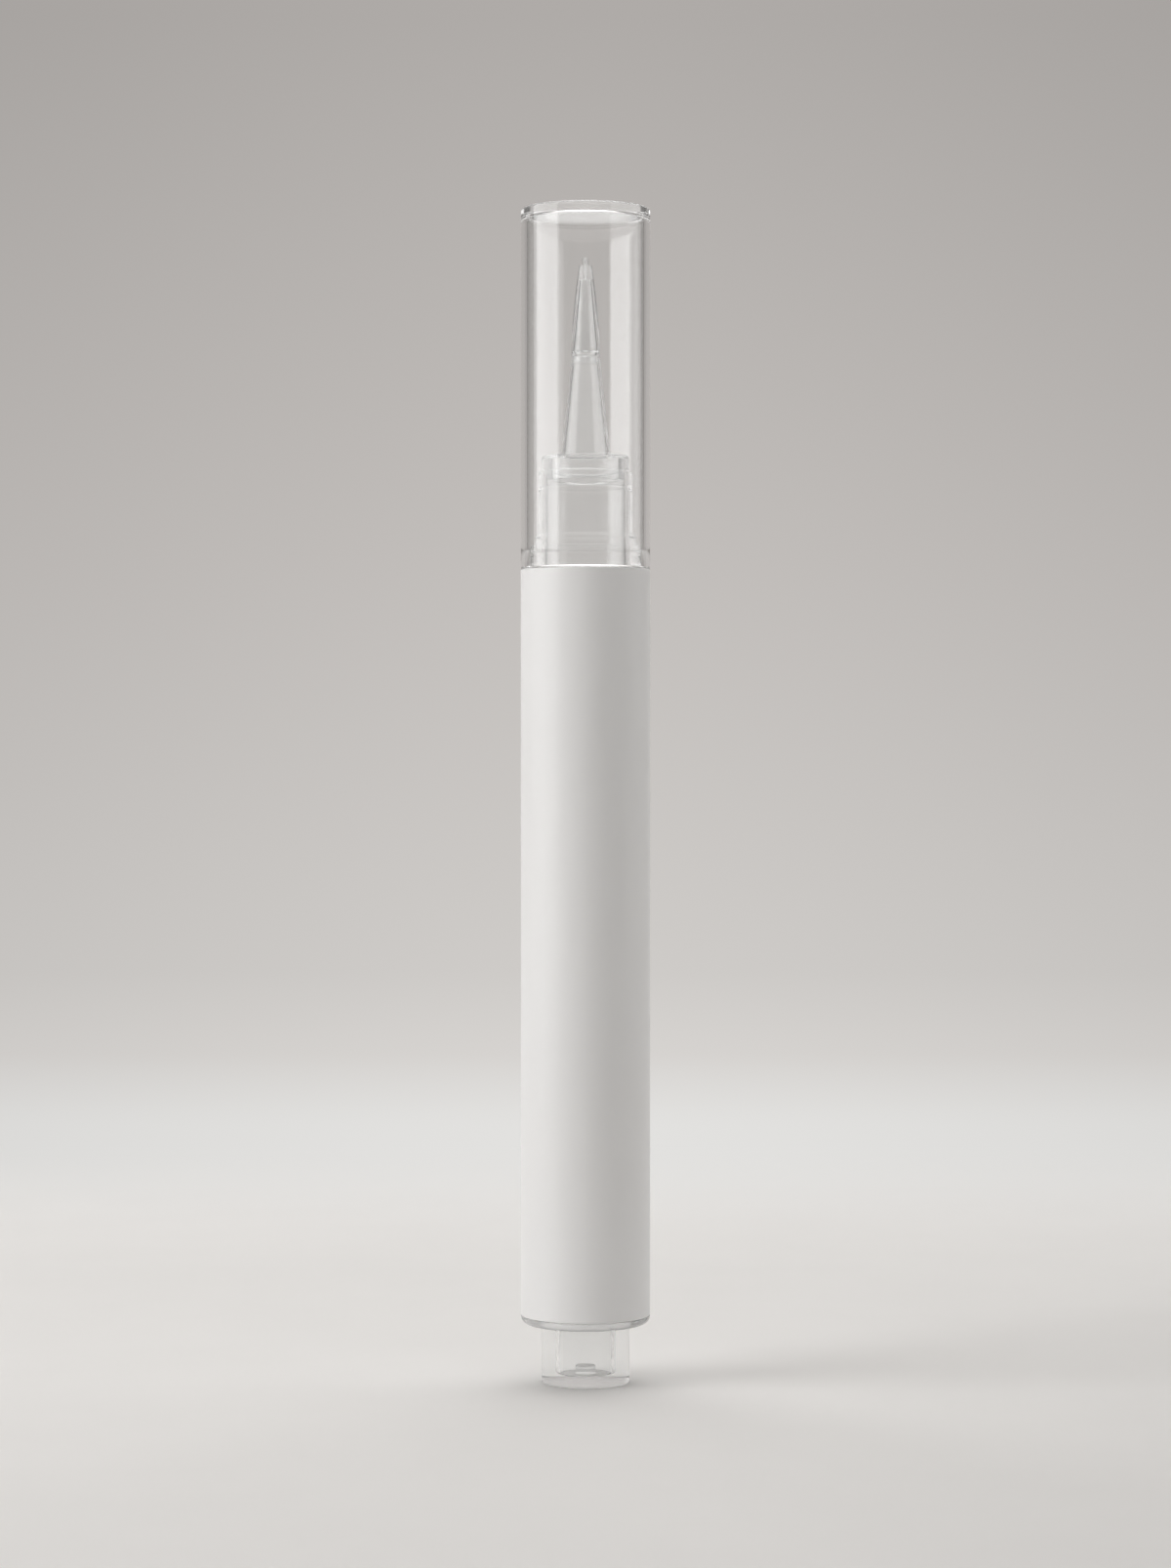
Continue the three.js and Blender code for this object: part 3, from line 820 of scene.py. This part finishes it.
# %% Make the piston and its seal
PISTON_FOOT = 44.3
PISTON_REAR = 4.9
GROOVE = 3.55
GROOVE_FOOT = 45.2
GROOVE_TOP = 48.2
PISTON_FRONT = 4.7
FRONT_TOP = 48.9
NOSE = 2.2
PISTON_TOP = 49.7
HEAD_SOCKET = 2.4
HEAD_SOCKET_FOOT = 45.4
HEAD_SOCKET_TOP = 47.35
SEAL_LIP = 5.25
LIP_WIDTH = 0.55
SEAL_WAIST = 4.75
LIP_BEVEL = 0.45
GREY_RUBBER = moulded_plastic(
    "grey_rubber", dark=(0.64, 0.64, 0.62), light=(0.7, 0.7, 0.68), roughness=0.62, grain_height=0.01
)
piston = turn(
    "piston_spool",
    [
        (0, HEAD_SOCKET_TOP),
        (HEAD_SOCKET, HEAD_SOCKET_TOP),
        (HEAD_SOCKET, HEAD_SOCKET_FOOT),
        (SCREW_CREST + RUN, HEAD_SOCKET_FOOT),
        (SCREW_CREST + RUN, PISTON_FOOT),
        (PISTON_REAR, PISTON_FOOT, EDGE / 2),
        (PISTON_REAR, GROOVE_FOOT),
        (GROOVE, GROOVE_FOOT),
        (GROOVE, GROOVE_TOP),
        (PISTON_FRONT, GROOVE_TOP),
        (PISTON_FRONT, FRONT_TOP, EDGE / 2),
        (NOSE, PISTON_TOP, EDGE),
        (0, PISTON_TOP),
    ],
)
settle(piston, NATURAL, "piston_body", "piston")
seal_foot = GROOVE_FOOT + SEAT
seal_top = GROOVE_TOP - SEAT
seal = turn(
    "seal_sleeve",
    [
        (GROOVE + SEAT, seal_foot),
        (SEAL_WAIST, seal_foot),
        (SEAL_LIP, seal_foot + LIP_BEVEL / 2, LIP_BEVEL / 4),
        (SEAL_LIP, seal_foot + LIP_WIDTH, LIP_BEVEL / 4),
        (SEAL_WAIST, seal_foot + LIP_WIDTH + LIP_BEVEL),
        (SEAL_WAIST, seal_top - LIP_WIDTH - LIP_BEVEL),
        (SEAL_LIP, seal_top - LIP_WIDTH, LIP_BEVEL / 4),
        (SEAL_LIP, seal_top - LIP_BEVEL / 2, LIP_BEVEL / 4),
        (SEAL_WAIST, seal_top),
        (GROOVE + SEAT, seal_top),
    ],
)
settle(seal, GREY_RUBBER, "piston_body", "piston_seal")

# %% [markdown]
# ## The ratchet, as packed
# The rotor, the ratchet housing and the thread guide stay hidden in the barrel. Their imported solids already
# have every tooth, so they keep those solids and only get their materials.

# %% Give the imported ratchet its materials
SLIPPERY = moulded_plastic(
    "slippery_plastic", dark=(0.77, 0.785, 0.79), light=(0.82, 0.835, 0.84), roughness=0.3, grain_height=0.003
)
for node, material, slot in (
    ("rotor", SLIPPERY, "slippery_plastic"),
    ("ratchet_housing", NATURAL, "natural_plastic"),
    ("thread_guide", NATURAL, "natural_plastic"),
):
    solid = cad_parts[node]
    solid.data.materials.clear()
    solid.data.materials.append(material)
    print(node, "shows its packed solid in", material.name)

# %% [markdown]
# ## Finish of the floor and backdrop
# The pen stands on a pale sweep: a floor that rises into a wall behind it. The near floor is lit by the lamps
# and takes the pen's shadow, and its colour also has painted shade, a little darker to the back and to the
# right. Further back, the tone follows a soft gradient, as if a lamp of its own lit the wall. Only the
# camera, gloss and clear plastic see this glow, so it throws no light on matt surfaces.

# %% Build the sweep's finish, with places in metres and tones as on screen
FLOOR_DARK = (0.84, 0.828, 0.812)
FLOOR_LIGHT = (0.85, 0.838, 0.822)
# Painted shade: how far the floor's colour is darkened to the back and to the right.
PAINTED_BACK_SHADE = 0.93
PAINTED_RIGHT_SHADE = 0.9
LIT_UNTIL = 0.1
WALL_FROM = 0.22
WALL_CLIMB = 0.24
WALL_TONES = (
    (0.0, (226, 225, 223)),
    (0.035, (214, 211, 208)),
    (0.09, (206, 203, 200)),
    (0.42, (194, 190, 187)),
    (0.9, (175, 171, 168)),
)
SIDE_SHADE = 0.9
EDGE_SHADE = 0.25


def linear(*srgb):
    """A colour of the screen, 0 to 255, as the amount of light."""
    return tuple(((c / 255 + 0.055) / 1.055) ** 2.4 for c in srgb)


def lit_floor(tree, place, axes):
    """A pale floor with painted shade: its colour is made a little darker to the back and to the right."""
    mottle = add_noise(tree, place, scale=60)
    # Painted shade: the floor's colour is scaled down to the back and then to the right.
    painted_back_shade = fade(tree, axes["Y"], start=-0.02, end=0.08, low=1.0, high=PAINTED_BACK_SHADE)
    painted_right_shade = fade(tree, axes["X"], start=0.01, end=0.07, low=painted_back_shade, high=PAINTED_RIGHT_SHADE)
    shaded = tree.nodes.new("ShaderNodeVectorMath")
    shaded.operation = "SCALE"
    feed(tree, shaded.inputs["Vector"], blend_colours(tree, mottle, FLOOR_DARK, FLOOR_LIGHT))
    feed(tree, shaded.inputs["Scale"], painted_right_shade)
    return add_node(tree, "ShaderNodeBsdfDiffuse", Color=shaded.outputs["Vector"]).outputs["BSDF"]


def glowing_wall(tree, axes):
    """A wall whose tone goes down as it climbs and to both sides, and that ends in dim edges."""
    ramp = add_node(tree, "ShaderNodeValToRGB", Fac=fade(tree, axes["Z"], 0.0, WALL_CLIMB))
    while len(ramp.color_ramp.elements) < len(WALL_TONES):
        ramp.color_ramp.elements.new(0.5)
    for element, (position, tone) in zip(ramp.color_ramp.elements, WALL_TONES):
        element.position = position
        element.color = (*linear(*tone), 1)
    aside = work_out(tree, "ABSOLUTE", axes["X"])
    sideways = fade(tree, aside, start=0.0, end=0.16, low=1.0, high=SIDE_SHADE, eased=True)
    dim_edge = fade(tree, aside, start=0.34, end=0.4, low=1.0, high=EDGE_SHADE)
    strength = work_out(tree, "MULTIPLY", sideways, dim_edge)
    glow = add_node(tree, "ShaderNodeEmission", Color=ramp.outputs["Color"], Strength=strength)
    return glow.outputs["Emission"]


def looked_at(tree):
    """Is 1 for rays from the camera, off gloss or through clear plastic, and 0 for those that only light."""
    path = tree.nodes.new("ShaderNodeLightPath").outputs
    camera_or_gloss = work_out(tree, "MAXIMUM", path["Is Camera Ray"], path["Is Glossy Ray"])
    return work_out(tree, "MAXIMUM", camera_or_gloss, path["Is Transmission Ray"])


def sweep_material():
    """A floor that takes shadows, turning into a wall with its own gradient of tone."""
    material, tree, output, place = start_material("sweep")
    axes = split_axes(tree, place)
    far = fade(tree, axes["Y"], LIT_UNTIL, WALL_FROM, eased=True)
    mix = add_node(tree, "ShaderNodeMixShader", Fac=work_out(tree, "MULTIPLY", far, looked_at(tree)))
    feed(tree, mix.inputs[1], lit_floor(tree, place, axes))
    feed(tree, mix.inputs[2], glowing_wall(tree, axes))
    feed(tree, output.inputs["Surface"], mix.outputs["Shader"])
    return material


SWEEP_FINISH = sweep_material()
print("made", SWEEP_FINISH.name, "with", len(SWEEP_FINISH.node_tree.nodes), "nodes")

# %% [markdown]
# ## Floor and backdrop
# A sweep is a sheet of paper that hangs behind and curves down to lie flat. Here a flat sheet is extruded up
# at its back edge, and the fold is bevelled into a wide curve, so that no line shows where the floor ends.

# %% Make the sweep
FLOOR_SIZE = 4.0
FLOOR_GAP = 0.00002
WALL = 0.4
FOLD = 0.15
FOLD_STEPS = 24


def select_edges(piece, wanted):
    """Selects the edges whose two ends both pass a test."""
    bpy.ops.object.mode_set(mode="EDIT")
    bpy.ops.mesh.select_mode(type="EDGE")
    bpy.ops.mesh.select_all(action="DESELECT")
    bpy.ops.object.mode_set(mode="OBJECT")
    for edge in piece.data.edges:
        edge.select = all(wanted(piece.data.vertices[index].co) for index in edge.vertices)
    bpy.ops.object.mode_set(mode="EDIT")


bpy.ops.object.select_all(action="DESELECT")
bpy.ops.mesh.primitive_plane_add(size=FLOOR_SIZE, location=(0, WALL - FLOOR_SIZE / 2, -FLOOR_GAP))
sweep = bpy.context.object
sweep.name = "sweep"
bpy.ops.object.transform_apply(location=True, rotation=True, scale=True)
select_edges(sweep, lambda co: co.y > WALL - WELD)
bpy.ops.mesh.extrude_region_move(TRANSFORM_OT_translate={"value": (0, 0, FLOOR_SIZE / 2)})
bpy.ops.object.mode_set(mode="OBJECT")
select_edges(sweep, lambda co: co.y > WALL - WELD and co.z < WELD)
bpy.ops.mesh.bevel(offset=FOLD, segments=FOLD_STEPS, affect="EDGES")
bpy.ops.object.mode_set(mode="OBJECT")
bpy.ops.object.shade_smooth()
sweep.data.materials.append(SWEEP_FINISH)
print("sweep:", len(sweep.data.polygons), "faces")

# %% [markdown]
# ## Lamps
# A tall soft box on the left is the main light. A weaker one on the right, a little behind, draws the pen's
# right edge, a wide dim one near the camera fills the front, and a low one behind lights the floor round the
# pen's foot. None of these four shows in gloss or in clear plastic. Two tall white cards do the opposite, as
# a photographer's cards do: they only show as bright bands in the clear pieces and in gloss. A card overhead
# lights up the cap's ceiling.

# %% Place the lamps, with sizes and distances in metres
BOX_HEIGHT = 0.6
PANEL_WIDTH = 0.6928
TOP_CARD_LENGTH = 0.9
TOP_CARD_HEIGHT = 0.8
BACK_LIGHT_HEIGHT = 0.2
BACK_LIGHT_PLACE = (0, 0.32, 0.36)
BACK_LIGHT_TILT = math.radians(-41.6)


def soft_box(name, location, rotation, width, height, radiance):
    """A rectangular lamp of one radiance all over, which the camera doesn't see."""
    bpy.ops.object.light_add(type="AREA", location=location, rotation=rotation)
    lamp = bpy.context.object
    lamp.name = name
    lamp.data.shape = "RECTANGLE"
    lamp.data.size = width
    lamp.data.size_y = height
    lamp.data.energy = radiance * math.pi * width * height
    lamp.visible_camera = False
    print(f"{name}: {width:.2f} by {height:.2f} m, {lamp.data.energy:.2f} W")
    return lamp


def standing_box(name, start, end, distance, radiance):
    """A tall box from one azimuth to another, in degrees to the right of the camera as the pen sees it."""
    middle = math.radians((start + end) / 2)
    width = 2 * distance * math.tan(math.radians(end - start) / 2)
    location = (distance * math.sin(middle), -distance * math.cos(middle), BOX_HEIGHT / 2)
    return soft_box(name, location, (math.pi / 2, 0, middle), width, BOX_HEIGHT, radiance)


def only_reflected(lamp):
    """Hides a lamp from rays that nothing has reflected, so no clear piece shows it straight through."""
    lamp.data.use_nodes = True
    tree = lamp.data.node_tree
    path = tree.nodes.new("ShaderNodeLightPath")
    once = work_out(tree, "MINIMUM", path.outputs["Glossy Depth"], 1.0)
    feed(tree, tree.nodes["Emission"].inputs["Strength"], once)


left_key = standing_box("left_key", start=-90, end=-51, distance=0.5, radiance=2.65)
right_rim = standing_box("right_rim", start=100, end=130, distance=0.55, radiance=1.08)
front_fill = standing_box("front_fill", start=-20, end=45, distance=0.7, radiance=0.36)
left_card = standing_box("left_card", start=-105, end=-51, distance=0.6, radiance=2.7)
right_card = standing_box("right_card", start=46, end=115, distance=0.6, radiance=1.1)
top_card = soft_box(
    "top_card", (0, 0, TOP_CARD_HEIGHT), (0, 0, 0), PANEL_WIDTH, TOP_CARD_LENGTH, radiance=1.4
)
back_light = soft_box(
    "back_light", BACK_LIGHT_PLACE, (BACK_LIGHT_TILT, 0, 0), PANEL_WIDTH, BACK_LIGHT_HEIGHT, radiance=2.2
)
for lamp in (left_key, right_rim, front_fill, back_light):
    lamp.visible_glossy = False
    lamp.visible_transmission = False
for card in (left_card, right_card, top_card):
    card.visible_diffuse = False
for card in (left_card, right_card):
    only_reflected(card)

# %% [markdown]
# ## Sky
# A dim sky fills the shadows. It is brighter overhead, like a studio with a white ceiling. Gloss and clear
# plastic see the studio's pale walls and ceiling instead, so the clear pieces look light and not hollow.

# %% Make the sky
SKY_COLOUR = (1.0, 0.97, 0.945, 1)
ZENITH = 0.95
ZENITH_POWER = 3.0
STUDIO_WALLS = 0.38
STUDIO_CEILING = 1.6
CEILING_FROM = 0.55
CEILING_TO = 0.85
world = bpy.data.worlds.new("studio")
bpy.context.scene.world = world
world.use_nodes = True
sky = world.node_tree
sky.nodes.clear()
direction = sky.nodes.new("ShaderNodeTexCoord").outputs["Generated"]
upward = split_axes(sky, direction)["Z"]
overhead = work_out(sky, "POWER", fade(sky, upward, 0.0, 1.0, high=ZENITH), ZENITH_POWER)
studio = fade(sky, upward, CEILING_FROM, CEILING_TO, low=STUDIO_WALLS, high=STUDIO_CEILING)
sky_path = sky.nodes.new("ShaderNodeLightPath")
strength = fade(sky, sky_path.outputs["Is Diffuse Ray"], 0.0, 1.0, low=studio, high=overhead)
background = add_node(sky, "ShaderNodeBackground", Color=SKY_COLOUR, Strength=strength)
sky_output = sky.nodes.new("ShaderNodeOutputWorld")
feed(sky, sky_output.inputs["Surface"], background.outputs["Background"])
print("sky:", len(sky.nodes), "nodes")

# %% [markdown]
# ## Camera
# The photograph looks along the floor from a little over half of the pen's height, through a long lens, and
# tilts down by half a degree. Rays need many bounces to get through a cap, a tip and their walls.

# %% Place the camera
LENS = 85.0
DISTANCE = 372.5
EYE = 63.7
TILT = math.radians(0.536)
NEAREST = 10.0
BOUNCES = 32
bpy.ops.object.camera_add(location=(0, -DISTANCE * MM, EYE * MM), rotation=(math.pi / 2 - TILT, 0, 0))
camera = bpy.context.object
camera.data.lens = LENS
camera.data.clip_start = NEAREST * MM
scene = bpy.context.scene
scene.camera = camera
scene.view_settings.view_transform = "Standard"
scene.cycles.max_bounces = BOUNCES
scene.cycles.glossy_bounces = BOUNCES
scene.cycles.transmission_bounces = BOUNCES
scene.cycles.transparent_max_bounces = BOUNCES
scene.cycles.use_denoising = True
print("camera at", [round(c, 4) for c in camera.location])
